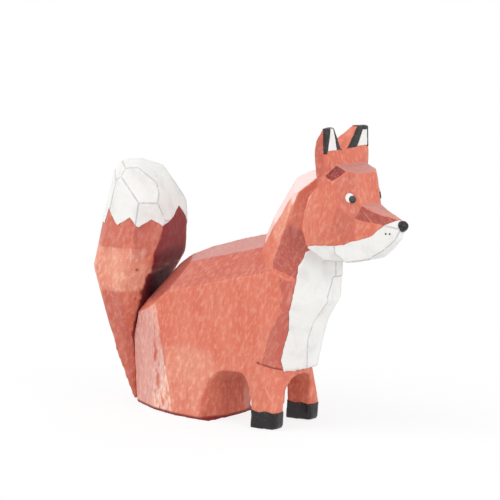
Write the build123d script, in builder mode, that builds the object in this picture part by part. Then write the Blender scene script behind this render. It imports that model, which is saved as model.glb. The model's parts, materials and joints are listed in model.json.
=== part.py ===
from build123d import *
import os

os.makedirs("parts", exist_ok=True)

# A sitting fox, whittled from light wood with a knife. Sizes are in millimetres.
# The fox looks along +X, its left side is +Y, and it stands on z = 0.
# The origin is on the ground, under the middle of the fox's length.

# Sizes of the plank that the fox is sawn from
body_width = 20.0
trunk_length = 59.0
trunk_height = 47.0

# How far the brush stands out behind the rump, and the snout ahead of the throat
brush_overhang = 11.9
snout_overhang = 18.2

# The arch between haunches and forelegs
haunch_length = 29.3
arch_span = 10.8
arch_height = 12.6
arch_wall_width = 6.8

# The forelegs, each let in a little from the flank, and the gap between them
leg_depth = 7.6
leg_height = 16.5
leg_inset = 0.2
leg_spread = body_width - 2 * leg_inset
leg_gap = 9.8
leg_gap_height = 12.2

# The neck, planed down a little from the flanks: its block starts this far behind the throat
# and this far under the jaw
neck_inset = 0.5
neck_length = 21.0
neck_width = body_width - 2 * neck_inset
neck_height = 26.0
neck_sink = 6.1

# The head, planed down from the flanks: its underside hangs this far under the top of the trunk
head_inset = 1.05
head_length = 22.4
head_width = body_width - 2 * head_inset
head_height = 21.8
jaw_drop = 6.9

# The ears: one block across the head, let into the crown and parted by a notch
ear_depth = 9.7
ear_height = 12.0
ear_sink = 3.9
ear_setback = 2.7

# The brush, sawn from the same plank
brush_depth = 23.1
brush_width = body_width
brush_height = 59.4
brush_lift = 0.6

# The straight glue joint between brush and rump
joint_height = 16.3
joint_relief = 0.3

# The peg in the glue joint between brush and rump
dowel_diameter = 3.0
dowel_length = 10.0
dowel_in_brush = 3.0
dowel_height = 13.0
dowel_clearance = 0.05

# Paint
paint_thickness = 0.15
nose_diameter = 2.6
eye_diameter = 2.1
eye_thickness = 0.15
pupil_diameter = 1.7
pupil_thickness = 0.24
whisker_dot_diameter = 0.4
whisker_dot_thickness = 0.1
foot_paint_height = 4.3
corner_tooth_width = 6.0
corner_tooth_height = 1.8

# Places that follow from these sizes
overall_length = brush_overhang + trunk_length + snout_overhang
brush_back = -overall_length / 2
rump = brush_back + brush_overhang
throat = rump + trunk_length
nose_tip = throat + snout_overhang
arch_rear = rump + haunch_length
leg_rear = arch_rear + arch_span
jaw = trunk_height - jaw_drop
crown = jaw + head_height


class Block:
    """A block of the blank: the corner it starts from, its length, width and height."""

    def __init__(self, start, base, length, width, height):
        self.start, self.base = start, base
        self.length, self.half_width, self.height = length, width / 2, height

    def side(self, along, up):
        """A point of the side view, from shares of the block's length and height"""
        return (self.start + along * self.length, self.base + up * self.height)

    def front(self, out, up):
        """A point of the front view, from shares of its half width and height"""
        return (out * self.half_width, self.base + up * self.height)

    def spot(self, along, out, up):
        """A point on the right side, from shares of its length, half width and height"""
        x, z = self.side(along, up)
        return Vector(x, -out * self.half_width, z)


trunk_block = Block(rump, 0, trunk_length, body_width, trunk_height)
arch_block = Block(arch_rear, 0, arch_span, body_width, arch_height)
leg_block = Block(leg_rear, 0, leg_depth, leg_spread, leg_height)
neck_block = Block(throat - neck_length, jaw - neck_sink, neck_length, neck_width, neck_height)
head_block = Block(nose_tip - head_length, jaw, head_length, head_width, head_height)
ear_block = Block(head_block.start - ear_setback, crown - ear_sink, ear_depth, head_width, ear_height)
brush_block = Block(brush_back, brush_lift, brush_depth, brush_width, brush_height)
brush_root_block = Block(brush_back, brush_lift, brush_overhang, brush_width, brush_height)

# Side views of the blocks: shares of each block's length and height
trunk_outline_shares = [
    (0, 0), (0, joint_height / trunk_height), (0.078, 0.553), (0.217, 0.758), (0.312, 0.813),
    (0.383, 0.852), (0.568, 0.919), (0.686, 0.96), (0.771, 1), (0.822, 0.985), (0.864, 0.766), (0.915, 0.538),
    (0.89, 0.449), (0.873, 0.302), (0.653, 0.27), (0.568, 0.268), (0.525, 0.247), (0.497, 0.197),
    (0.497, 0),
]
breast_outline_shares = [
    (0.669, 0.479), (0.79, 0.479), (0.915, 0.54), (0.973, 0.643), (0.99, 0.745), (1, 0.834),
    (0.983, 1), (0.703, 0.979),
]
leg_outline_shares = [
    (0.039, 0), (0.092, 0.279), (0.053, 0.521), (-0.026, 0.636), (-0.132, 0.739),
    (-0.316, 0.788), (-0.316, 1), (1.263, 1), (1.079, 0.667), (0.987, 0.485), (0.961, 0.242),
    (0.921, 0),
]
neck_outline_shares = [
    (0, 0.269), (0.029, 0.415), (0.157, 0.6), (0.305, 0.792), (0.438, 0.923),
    (0.671, 1), (1, 1), (1, 0.077), (0.357, 0.019),
]
skull_outline_shares = [
    (0.179, 1), (0.196, 0.794), (0.089, 0.67), (0.027, 0.495), (0, 0.339), (0.054, 0.17),
    (0.21, 0.009), (0.5, 0), (0.54, 0.225), (0.571, 0.587), (0.536, 0.683), (0.527, 0.908),
    (0.312, 1),
]
muzzle_outline_shares = [
    (0.344, 0.638), (0.571, 0.596), (0.701, 0.528), (0.951, 0.45), (0.951, 0.344),
    (0.906, 0.252), (0.804, 0.147), (0.647, 0.037), (0.433, 0), (0.344, 0.087),
]
ear_outline_shares = [
    (0, 0.167), (0.371, 0.667), (0.722, 1), (0.897, 1), (0.907, 0.583), (1, 0.325),
    (0.969, 0), (0.144, 0),
]
brush_outline_shares = [
    (0.32, 0.358), (0.58, 0.405), (0.771, 0.522), (0.887, 0.594), (0.961, 0.679), (1, 0.759),
    (0.909, 0.871), (0.848, 0.91), (0.654, 0.968), (0.498, 1), (0.368, 0.992), (0.286, 0.921),
    (0.186, 0.814), (0.139, 0.741), (0, 0.548), (0.156, 0.408),
]
joint_share = brush_overhang / brush_depth
joint_top_share = (joint_height + joint_relief - brush_lift) / brush_height
brush_haft_outline_shares = [
    (joint_share, 0.216), (joint_share, joint_top_share), (0.771, 0.522), (0.71, 0.567),
    (0.19, 0.567), (0.022, 0.528), (0.156, 0.408), (0.299, 0.216),
]
brush_root_outline_shares = [
    (1, 0.01), (1, joint_top_share), (0.874, 0.316), (0.53, 0.316), (0.596, 0.211), (0.959, 0),
]

# Knife strokes: each takes off a flat facet, through three spots of its block's right side
breast_stroke_shares = ((0.841, 1, 0.766), (0.841, 1, 0.587), (0.985, 0.21, 0.702))
shoulder_stroke_shares = ((0.841, 1, 0.587), (0.79, 1, 0.479), (0.917, 0.28, 0.545))
flank_stroke_shares = ((0.341, 0.55, 0.785), (0.727, 0.55, 0.898), (0.592, 1, 0.728))
back_stroke_shares = ((0.341, 0.55, 0.785), (0.727, 0.55, 0.898), (0.459, 0, 0.885))
trunk_stroke_shares = {
    "thigh": ((0.432, 1, 0), (0.246, 1, 0.574), (0.297, 0.93, 0)),
    "back of the thigh": ((0.297, 0.93, 0), (0.178, 0.73, 0), (0.212, 0.97, 0.553)),
    "rump": ((0.188, 0.925, 0.543), (0.168, 0.73, 0.043), (0, 0.28, 0.213)),
    "upper flank": flank_stroke_shares,
    "back": back_stroke_shares,
    "croup": ((0.337, 0.55, 0.783), (0.22, 0.82, 0.609), (0.217, 0, 0.76)),
    "breast": breast_stroke_shares,
    "elbow": ((0.915, 0.28, 0.538), (0.873, 0.196, 0.302), (0.751, 1, 0.334)),
}
breast_block_stroke_shares = {
    "upper flank": flank_stroke_shares,
    "back": back_stroke_shares,
    "breast": breast_stroke_shares,
    "shoulder": shoulder_stroke_shares,
}
leg_stroke_shares = {
    "front corner": ((0.921, 0.888, 0.273), (0.461, 1, 0.933), (1.079, 0.459, 0.818)),
    "outside": ((0.053, 0.885, 0), (0.842, 0.885, 0), (0.053, 1, 0.788)),
}
neck_front_stroke_shares = ((0.519, 0.811, 0.469), (0.414, 1.042, 0.146), (0.71, 0.726, 0.108))
neck_stroke_shares = {
    "top": ((0.671, 0, 1), (0.438, 0, 0.923), (0.862, 0.842, 0.8)),
    "nape": ((0.438, 0, 0.923), (0.157, 0, 0.6), (0.5, 0.579, 0.708)),
    "lower nape": ((0.157, 0, 0.6), (0.029, 0, 0.4), (0.271, 0.579, 0.442)),
    "side": ((0.5, 0.579, 0.708), (0.51, 0.789, 0.535), (0.833, 0.968, 0.588)),
    "root": ((0.271, 0.579, 0.442), (0.519, 0.811, 0.469), (0.414, 1.042, 0.146)),
    "front": neck_front_stroke_shares,
}
brow_stroke_shares = ((0.384, 1, 0.839), (0.527, 0.38, 0.908), (0.54, 0.626, 0.454))
jaw_stroke_shares = ((0.942, 0.127, 0.321), (0.647, 0.38, 0.037), (0.54, 0.626, 0.454))
skull_stroke_shares = {
    "brow": brow_stroke_shares,
    "cheek": ((0.54, 0.626, 0.454), (0.451, 0.603, 0.151), (0.321, 1, 0.271)),
    "temple": ((0.295, 1, 0.876), (0.384, 1, 0.839), (0.455, 0.693, 0.92)),
    "back of the jaw": ((0.098, 0.983, 0.161), (0.451, 0.626, 0.151), (0.277, 0.648, 0.009)),
}
muzzle_stroke_shares = {
    "jaw": jaw_stroke_shares,
    "hollow": ((0.571, 0.413, 0.587), (0.54, 0.626, 0.454), (0.857, 0.179, 0.436)),
}
ear_stroke_shares = {
    "back of the tip": ((0.897, 1.006, 1.017), (0.696, 1.006, 0.775), (0.722, 0.514, 1.008)),
    "back of the ear": ((0.696, 1.006, 0.775), (0.649, 1.006, 0.533), (0.474, 0.514, 0.75)),
    "back of the head": ((0.649, 1, 0.533), (0.722, 1, 0), (0.299, 0.335, 0.333)),
    "front of the ear": ((0.907, 1, 0.583), (0.897, 1, 0.167), (1.01, 0.67, 0.333)),
}
lower_side_stroke_shares = ((0.255, 0.93, 0.463), (0.688, 0.93, 0.446), (0.515, 0.44, 0.249))
brush_stroke_shares = {
    "side": ((0.576, 0.84, 0.943), (0.805, 0.85, 0.833), (0.719, 1, 0.61)),
    "front corner": ((0.805, 0.83, 0.833), (1, 0.41, 0.759), (0.719, 1.02, 0.61)),
    "lower front corner": ((0.887, 0.5, 0.594), (0.658, 0.89, 0.533), (0.771, 0.46, 0.522)),
    "shoulder": ((0.554, 0.63, 0.977), (0.909, 0.4, 0.871), (0.805, 0.83, 0.833)),
    "crest": ((0.494, 0, 1), (0.364, 0.5, 0.988), (0.654, 0.45, 0.97)),
    "back shoulder": ((0.554, 0.63, 0.977), (0.576, 0.84, 0.943), (0.32, 0.46, 0.96)),
    "lower side": lower_side_stroke_shares,
    "back corner": ((0.139, 0.45, 0.741), (0.364, 0.91, 0.742), (0, 0.45, 0.548)),
    "lower back corner": ((0, 0.45, 0.548), (0.234, 0.96, 0.542), (0.156, 0.45, 0.408)),
    "upper back corner": ((0.139, 0.45, 0.741), (0.364, 0.91, 0.742), (0.286, 0.45, 0.921)),
}
brush_haft_stroke_shares = {
    "front corner": ((0.771, 0.46, 0.522), (0.515, 0.32, 0.263), (0.658, 0.89, 0.533)),
    "lower side": lower_side_stroke_shares,
    "back corner": ((0, 0.45, 0.548), (0.299, 0.45, 0.216), (0.234, 0.96, 0.542)),
}
brush_root_stroke_shares = {
    "side of the root": ((1, 0.29, 0.023), (1, 0.32, 0.241), (0.58, 0.5, 0.216)),
}


def stroke_plane(block, spots, proud=0.0, left=False):
    """The plane of one knife stroke, facing out of the wood; proud moves it outwards."""
    first, second, third = (block.spot(*spot) for spot in spots)
    outward = (second - first).cross(third - first).normalized()
    x, z = block.side(1 / 2, 1 / 2)
    if outward.dot(Vector(x, 0, z) - first) > 0:
        outward = -outward
    if left:
        first, outward = Vector(first.X, -first.Y, first.Z), Vector(outward.X, -outward.Y, outward.Z)
    return Plane(origin=first + outward * proud, z_dir=outward)


def carve(block, outline_shares, stroke_shares, proud=0.0):
    """Saws a block to its side view, then takes a facet off each side with every stroke."""
    with BuildPart() as carved:
        with BuildSketch(Plane.XZ):
            with BuildLine():
                Polyline(*[block.side(*share) for share in outline_shares], close=True)
            make_face()
            if proud:
                offset(amount=proud, kind=Kind.INTERSECTION)
        extrude(amount=block.half_width + proud, both=True)
        for spots in stroke_shares.values():
            for left in (False, True):
                split(bisect_by=stroke_plane(block, spots, proud, left), keep=Keep.BOTTOM)
    return carved.part


def side_prism(outline, half_width):
    """A prism across the fox, from its outline in the side view"""
    with BuildPart() as prism:
        with BuildSketch(Plane.XZ):
            with BuildLine():
                Polyline(*outline, close=True)
            make_face()
        extrude(amount=half_width, both=True)
    return prism.part


def front_prism(outline, start, length):
    """A prism along the fox, from its outline in the front view"""
    with BuildPart() as prism:
        with BuildSketch(Plane.YZ.offset(start)):
            with BuildLine():
                Polyline(*outline, close=True)
            make_face()
        extrude(amount=length)
    return prism.part


# The arch widens towards both flanks: its outline in the middle and on the flank, as shares of
# the arch's span and height
arch_outline_shares = [
    (0, 0), (0, 0.4), (0, 0.73), (0.16, 0.92), (0.39, 1), (0.71, 1), (1.2, 0.95), (1.2, 0),
]
flank_arch_shares = [
    (-0.343, 0), (-0.204, 0.492), (0.056, 0.846), (0.185, 0.938), (0.389, 1), (0.71, 1),
    (1.2, 0.95), (1.2, 0),
]
arch_overrun = 0.5

with BuildPart() as arch_flare:
    for depth, outline_shares in (
        (arch_wall_width / 2, arch_outline_shares),
        (body_width / 2 + arch_overrun, flank_arch_shares),
    ):
        with BuildSketch(Plane.XZ.offset(depth)):
            with BuildLine():
                Polyline(*[arch_block.side(*share) for share in outline_shares], close=True)
            make_face()
    loft(ruled=True)
    mirror(about=Plane.XZ)

# The gap between the forelegs, seen from the front: shares of its width and height
leg_gap_shares = [
    (-0.5, 0), (-0.5, 0.78), (-0.34, 0.95), (-0.14, 1), (0.14, 1), (0.34, 0.95), (0.5, 0.78),
    (0.5, 0),
]


def gap_between_legs(proud=0.0):
    """The wood sawn out between the forelegs; proud makes it tighter by a coat of paint."""
    outline = [
        ((leg_gap - 2 * proud) * out, (leg_gap_height - proud) * up) for out, up in leg_gap_shares
    ]
    return front_prism(outline, leg_rear - leg_depth, 3 * leg_depth)


# The notch between the ears, seen from the front: shares of their half width and height
notch_shares = [(-0.542, 1.1), (-0.542, 1), (-0.235, 0.592), (0.034, 0.592), (0.514, 1), (0.514, 1.1)]
notch_outline = [ear_block.front(*share) for share in notch_shares]
notch = front_prism(notch_outline, ear_block.start, 2 * ear_depth)

# A scooped hollow where the neck meets the shoulder: its place in the side view and its floor
hollow_outline_shares = [(0.754, 0.702), (0.754, 1), (0.975, 1), (0.975, 0.702)]
hollow_floor_shares = ((0.805, 1, 0.796), (0.841, 1, 0.77), (0.886, 0.75, 0.749))


def neck_hollow(proud=0.0, left=False):
    """The wood scooped off one side between neck and shoulder"""
    outline = [trunk_block.side(*share) for share in hollow_outline_shares]
    with BuildPart() as hollow:
        add(side_prism(outline, body_width))
        split(bisect_by=stroke_plane(neck_block, neck_front_stroke_shares, proud, left), keep=Keep.TOP)
        split(bisect_by=stroke_plane(trunk_block, hollow_floor_shares, proud, left), keep=Keep.TOP)
    return hollow.part


def carve_fox(proud=0.0):
    """The whole fox without its brush; proud swells it by a coat of paint."""
    trunk = carve(trunk_block, trunk_outline_shares, trunk_stroke_shares, proud)
    breast = carve(trunk_block, breast_outline_shares, breast_block_stroke_shares, proud)
    legs = carve(leg_block, leg_outline_shares, leg_stroke_shares, proud)
    neck = carve(neck_block, neck_outline_shares, neck_stroke_shares, proud)
    skull = carve(head_block, skull_outline_shares, skull_stroke_shares, proud)
    muzzle = carve(head_block, muzzle_outline_shares, muzzle_stroke_shares, proud)
    ears = carve(ear_block, ear_outline_shares, ear_stroke_shares, proud)
    with BuildPart() as open_legs:
        add(legs)
        add(gap_between_legs(proud), mode=Mode.SUBTRACT)
    with BuildPart() as trimmed_neck:
        add(neck)
        for left in (False, True):
            split(bisect_by=stroke_plane(trunk_block, breast_stroke_shares, proud, left), keep=Keep.BOTTOM)
    with BuildPart() as parted_ears:
        add(ears)
        add(notch, mode=Mode.SUBTRACT)
    with BuildPart() as fox:
        add(trunk)
        add(breast)
        add(arch_flare.part, mode=Mode.SUBTRACT)
        for left in (False, True):
            add(neck_hollow(proud, left), mode=Mode.SUBTRACT)
        add([open_legs.part, trimmed_neck.part, skull, muzzle, parted_ears.part])
    return fox.part


def carve_brush(proud=0.0):
    """The brush with its haft and slim root; proud swells it by a coat of paint."""
    with BuildPart() as brush:
        add(carve(brush_block, brush_outline_shares, brush_stroke_shares, proud))
        add(carve(brush_block, brush_haft_outline_shares, brush_haft_stroke_shares, proud))
        add(carve(brush_root_block, brush_root_outline_shares, brush_root_stroke_shares, proud))
    return brush.part


bare_fox = carve_fox()
painted_fox = carve_fox(paint_thickness)
dowel_start = rump - dowel_in_brush

with BuildPart() as dowel_bore:
    with BuildSketch(Plane.YZ.offset(dowel_start)):
        with Locations((0, dowel_height)):
            Circle(dowel_diameter / 2 + dowel_clearance)
    extrude(amount=dowel_length)

with BuildPart() as body:
    add(bare_fox)
    add(dowel_bore.part, mode=Mode.SUBTRACT)
body.part.label = "body"
export_step(body.part, "parts/body.step")

with BuildPart() as tail:
    add(carve_brush())
    add(dowel_bore.part, mode=Mode.SUBTRACT)
tail.part.label = "tail"
export_step(tail.part, "parts/tail.step")

with BuildPart() as tail_dowel:
    with BuildSketch(Plane.YZ.offset(dowel_start)):
        with Locations((0, dowel_height)):
            Circle(dowel_diameter / 2)
    extrude(amount=dowel_length)
tail_dowel.part.label = "tail_dowel"
export_step(tail_dowel.part, "parts/tail_dowel.step")

# The white bib covers the front of the breast, the throat and the jaw. Its edge in the side
# view: up the shoulder as shares of the trunk, then along the jaw as shares of the head
bib_on_trunk_shares = [
    (1.025, 0.281), (0.907, 0.281), (0.81, 0.291), (0.808, 0.345), (0.824, 0.415),
    (0.841, 0.483), (0.871, 0.606), (0.89, 0.751), (0.893, 0.819), (0.91, 0.86), (0.912, 0.887),
]
bib_on_head_shares = [
    (0.045, 0.11), (0.098, 0.161), (0.429, 0.179), (0.491, 0.216), (0.571, 0.234),
    (0.638, 0.257), (0.696, 0.284), (0.746, 0.339), (0.817, 0.399), (0.902, 0.445),
    (0.942, 0.454), (1.058, 0.459), (1.058, 0.041),
]
bib_outline = [trunk_block.side(*share) for share in bib_on_trunk_shares]
bib_outline += [head_block.side(*share) for share in bib_on_head_shares]

with BuildPart() as bib_paint:
    add(painted_fox)
    add(side_prism(bib_outline, body_width), mode=Mode.INTERSECT)
    add(bare_fox, mode=Mode.SUBTRACT)
bib_paint.part.label = "bib_paint"
export_step(bib_paint.part, "parts/bib_paint.step")

# The nose is a thick bead of paint on the tip of the muzzle
nose_shares = (0.95, 0.388)
nose_x, nose_z = head_block.side(*nose_shares)

with BuildPart() as nose_paint:
    with Locations((nose_x, 0, nose_z)):
        Sphere(nose_diameter / 2)
    add(bare_fox, mode=Mode.SUBTRACT)
    add(bib_paint.part, mode=Mode.SUBTRACT)
nose_paint.part.label = "nose_paint"
export_step(nose_paint.part, "parts/nose_paint.step")

# The white tip of the brush. Its toothed lower edge: across the sides as shares of the
# brush's depth and height, then the teeth on its front and on its corners
tip_outline_shares = [
    (-0.113, 0.742), (0.303, 0.739), (0.407, 0.809), (0.545, 0.739), (0.701, 0.774),
    (0.788, 0.737), (1.186, 0.737), (1.186, 1.043), (-0.113, 1.043),
]
front_tooth_shares = [
    (-0.46, 0.659), (-0.46, 0.742), (-0.12, 0.771), (0.19, 0.814), (0.32, 0.783), (0.42, 0.753),
    (0.42, 0.659),
]
corner_tooth_shares = (0.892, -0.65, 0.737)
tip_outline = [brush_block.side(*share) for share in tip_outline_shares]
front_tooth_outline = [brush_block.front(*share) for share in front_tooth_shares]
corner_x, corner_z = brush_block.side(corner_tooth_shares[0], corner_tooth_shares[2])
corner_y = corner_tooth_shares[1] * brush_width / 2

with BuildPart() as corner_tooth:
    with BuildSketch(Plane(origin=(corner_x, corner_y, corner_z), x_dir=(1, 1, 0), z_dir=(1, -1, 0))):
        with BuildLine():
            Polyline(
                (-corner_tooth_width / 2, -corner_tooth_height),
                (-corner_tooth_width / 2, 0),
                (0, corner_tooth_height),
                (corner_tooth_width / 2, 0),
                (corner_tooth_width / 2, -corner_tooth_height),
                close=True,
            )
        make_face()
    extrude(amount=corner_tooth_width / 2, both=True)
    mirror(about=Plane.XZ)

with BuildPart() as tail_tip_paint:
    add(carve_brush(paint_thickness))
    add(side_prism(tip_outline, brush_width), mode=Mode.INTERSECT)
    add(front_prism(front_tooth_outline, brush_back - brush_depth, 3 * brush_depth), mode=Mode.SUBTRACT)
    add(corner_tooth.part, mode=Mode.SUBTRACT)
    add(carve_brush(), mode=Mode.SUBTRACT)
tail_tip_paint.part.label = "tail_tip_paint"
export_step(tail_tip_paint.part, "parts/tail_tip_paint.step")

# Black paint round the forefeet, open at the sole: shares of the leg's depth and the paint's height
foot_paint_shares = [
    (-0.342, 0), (-0.342, 0.977), (0.079, 1), (0.368, 0.907), (0.658, 1), (0.868, 0.93),
    (1.368, 0.884), (1.368, 0),
]
foot_outline = [
    (leg_rear + along * leg_depth, up * foot_paint_height) for along, up in foot_paint_shares
]
foot_zone = side_prism(foot_outline, body_width)

with BuildPart() as right_forefoot_paint:
    add(painted_fox)
    add(foot_zone, mode=Mode.INTERSECT)
    add(bare_fox, mode=Mode.SUBTRACT)
    split(bisect_by=Plane.XZ, keep=Keep.TOP)
right_forefoot_paint.part.label = "right_forefoot_paint"
export_step(right_forefoot_paint.part, "parts/right_forefoot_paint.step")

with BuildPart() as left_forefoot_paint:
    add(painted_fox)
    add(foot_zone, mode=Mode.INTERSECT)
    add(bare_fox, mode=Mode.SUBTRACT)
    split(bisect_by=Plane.XZ, keep=Keep.BOTTOM)
left_forefoot_paint.part.label = "left_forefoot_paint"
export_step(left_forefoot_paint.part, "parts/left_forefoot_paint.step")

# Paint on the front of the ears, seen from the front: shares of their half width and height.
# The black goes on over the flat of the tips, which starts farther back in the ears' depth
coat_start_share = 0.881
tip_start_share = 0.722
right_lining_shares = [(-0.693, 1), (-0.598, 1), (-0.453, 0.592), (-0.827, 0.583)]
right_edging_shares = [
    (-1, 1.05), (-1, 0.533), (-0.894, 0.533), (-0.827, 0.583), (-0.693, 1), (-0.598, 1),
    (-0.453, 0.592), (-0.2, 0.583), (-0.5, 1.05),
]
right_tip_shares = [(-1, 1), (-1, 1.05), (-0.5, 1.05), (-0.5, 1)]
left_lining_shares = [(0.9, 0.925), (0.715, 0.925), (0.48, 0.625), (0.9, 0.633)]
left_edging_shares = [
    (1, 1.05), (1, 0.6), (0.9, 0.6), (0.9, 0.925), (0.715, 0.925), (0.436, 0.608),
    (0.02, 0.6), (0.469, 1.05),
]
left_tip_shares = [(1, 1), (1, 1.05), (0.469, 1.05), (0.469, 1)]


def ear_zone(outline_shares, start_share):
    """The room in front of the ears that a coat may fill, within an outline in the front view"""
    outline = [ear_block.front(*share) for share in outline_shares]
    return front_prism(outline, ear_block.start + start_share * ear_depth, ear_depth)


def coat_ear(*zones):
    """A coat of paint on the ears, within these zones"""
    with BuildPart() as zone:
        add(list(zones))
    with BuildPart() as coat:
        add(painted_fox)
        add(zone.part, mode=Mode.INTERSECT)
        add(bare_fox, mode=Mode.SUBTRACT)
    return coat.part


with BuildPart() as right_ear_lining:
    add(coat_ear(ear_zone(right_lining_shares, coat_start_share)))
right_ear_lining.part.label = "right_ear_lining"
export_step(right_ear_lining.part, "parts/right_ear_lining.step")

with BuildPart() as right_ear_edging:
    add(coat_ear(
        ear_zone(right_edging_shares, coat_start_share),
        ear_zone(right_tip_shares, tip_start_share),
    ))
right_ear_edging.part.label = "right_ear_edging"
export_step(right_ear_edging.part, "parts/right_ear_edging.step")

with BuildPart() as left_ear_lining:
    add(coat_ear(ear_zone(left_lining_shares, coat_start_share)))
left_ear_lining.part.label = "left_ear_lining"
export_step(left_ear_lining.part, "parts/left_ear_lining.step")

with BuildPart() as left_ear_edging:
    add(coat_ear(
        ear_zone(left_edging_shares, coat_start_share),
        ear_zone(left_tip_shares, tip_start_share),
    ))
left_ear_edging.part.label = "left_ear_edging"
export_step(left_ear_edging.part, "parts/left_ear_edging.step")

# Eyes on the flat of the brow and dots on the painted jaw: places in the side view of the head.
# The left eye was dabbed on a little farther back than the right one
right_eye_white_shares = (0.495, 0.672)
right_pupil_shares = (0.512, 0.654)
left_eye_white_shares = (0.43, 0.67)
left_pupil_shares = (0.446, 0.652)
whisker_dot_shares = [(0.826, 0.312), (0.862, 0.312)]


def on_facet(place_shares, stroke_shares, left=False, proud=0.0):
    """The plane of one of the head's facets, at a place given in the side view"""
    facet = stroke_plane(head_block, stroke_shares, proud, left)
    x, z = head_block.side(*place_shares)
    outward, start = facet.z_dir, facet.origin
    y = start.Y - (outward.X * (x - start.X) + outward.Z * (z - start.Z)) / outward.Y
    return Plane(origin=(x, y, z), z_dir=outward)


with BuildPart() as right_eye_white:
    with BuildSketch(on_facet(right_eye_white_shares, brow_stroke_shares)):
        Circle(eye_diameter / 2)
    extrude(amount=eye_thickness)
right_eye_white.part.label = "right_eye_white"
export_step(right_eye_white.part, "parts/right_eye_white.step")

with BuildPart() as left_eye_white:
    with BuildSketch(on_facet(left_eye_white_shares, brow_stroke_shares, left=True)):
        Circle(eye_diameter / 2)
    extrude(amount=eye_thickness)
left_eye_white.part.label = "left_eye_white"
export_step(left_eye_white.part, "parts/left_eye_white.step")

with BuildPart() as right_pupil:
    with BuildSketch(on_facet(right_pupil_shares, brow_stroke_shares)):
        Circle(pupil_diameter / 2)
    extrude(amount=pupil_thickness)
    add(right_eye_white.part, mode=Mode.SUBTRACT)
right_pupil.part.label = "right_pupil"
export_step(right_pupil.part, "parts/right_pupil.step")

with BuildPart() as left_pupil:
    with BuildSketch(on_facet(left_pupil_shares, brow_stroke_shares, left=True)):
        Circle(pupil_diameter / 2)
    extrude(amount=pupil_thickness)
    add(left_eye_white.part, mode=Mode.SUBTRACT)
left_pupil.part.label = "left_pupil"
export_step(left_pupil.part, "parts/left_pupil.step")

with BuildPart() as whisker_dots:
    for place_shares in whisker_dot_shares:
        for left in (False, True):
            with BuildSketch(on_facet(place_shares, jaw_stroke_shares, left, paint_thickness)):
                Circle(whisker_dot_diameter / 2)
            extrude(amount=whisker_dot_thickness)
whisker_dots.part.label = "whisker_dots"
export_step(whisker_dots.part, "parts/whisker_dots.step")
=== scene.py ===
"""Dresses the whittled fox figurine: worn wood, stain and paint over the CAD nodes."""

import json
import math

import bmesh
import bpy
import numpy as np
from bpy.props import FloatProperty, FloatVectorProperty, PointerProperty
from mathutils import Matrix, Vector
from mathutils.bvhtree import BVHTree
from mathutils.kdtree import KDTree

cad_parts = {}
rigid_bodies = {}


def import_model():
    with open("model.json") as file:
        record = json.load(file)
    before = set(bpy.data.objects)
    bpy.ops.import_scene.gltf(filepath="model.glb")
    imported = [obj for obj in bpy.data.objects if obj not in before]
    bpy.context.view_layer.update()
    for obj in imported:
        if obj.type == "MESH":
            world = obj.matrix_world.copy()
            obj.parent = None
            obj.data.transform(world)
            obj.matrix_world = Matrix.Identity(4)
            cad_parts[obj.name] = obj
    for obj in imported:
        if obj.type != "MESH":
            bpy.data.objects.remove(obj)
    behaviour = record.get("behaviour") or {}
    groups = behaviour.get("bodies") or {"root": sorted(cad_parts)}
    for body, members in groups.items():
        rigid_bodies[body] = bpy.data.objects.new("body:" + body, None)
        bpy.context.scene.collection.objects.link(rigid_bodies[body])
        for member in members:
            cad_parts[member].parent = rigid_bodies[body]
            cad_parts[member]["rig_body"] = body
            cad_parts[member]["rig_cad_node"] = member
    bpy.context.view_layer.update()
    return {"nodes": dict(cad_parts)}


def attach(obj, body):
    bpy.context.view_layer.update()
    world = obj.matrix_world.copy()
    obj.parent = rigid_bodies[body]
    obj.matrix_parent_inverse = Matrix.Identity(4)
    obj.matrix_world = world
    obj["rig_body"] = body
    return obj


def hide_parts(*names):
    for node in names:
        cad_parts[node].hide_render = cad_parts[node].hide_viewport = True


bl_info = {
    "name": "Whittled Fox",
    "version": (1, 0, 0),
    "blender": (4, 5, 0),
    "location": "View3D > Sidebar > Fox",
    "description": "Knife-cut wood, red stain and paint for the fox figurine",
    "category": "Object",
}

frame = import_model()

MM = 0.001
BODY = "root"

# Triangles of the CAD nodes are merged within this distance, and across edges flatter than this
MERGE_WITHIN = 0.003 * MM
FLAT_ANGLE = math.radians(0.5)

# How far an arris turns before the stain thins on it, and before the paint wears off it
STAIN_ARRIS = math.radians(18)
PAINT_ARRIS = math.radians(24)

# An arris is level where it rises by less than this share of its length. The paint wears off
# level arrises only in front of these places: on the head, and all over the brush
LEVEL_SHARE = 0.7
LEVEL_FROM = {"body": 24 * MM, "tail": -math.inf}

# How far apart the places along a marked line are
LINE_STEP = 0.1 * MM

# The toes, in front of and below these places, are rounded off in so many more rounds
TOE_START = 11 * MM
TOE_HEIGHT = 6 * MM
TOE_ROUNDS = 28

# How long the bumps of each surface are
ARRIS_BUMP = 1.8 * MM
KNIFE_BUMP = 3.4 * MM
PAINT_BUMP = 1.1 * MM
HEM_BUMP = 0.75 * MM

# The lower hem of the bib: it wanders up and down below this height
HEM_HEIGHT = 14.3 * MM
HEM_WANDER = 1.0 * MM

# In millimetres: a point this near to the stop cut is pushed in, and a point with no mark near
# it counts as this far from any
CUT_REACH = 0.21
UNMARKED = 99.0

# How often the long edges of a coat or of the nose are split at most
SPLIT_ROUNDS = 8


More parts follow.
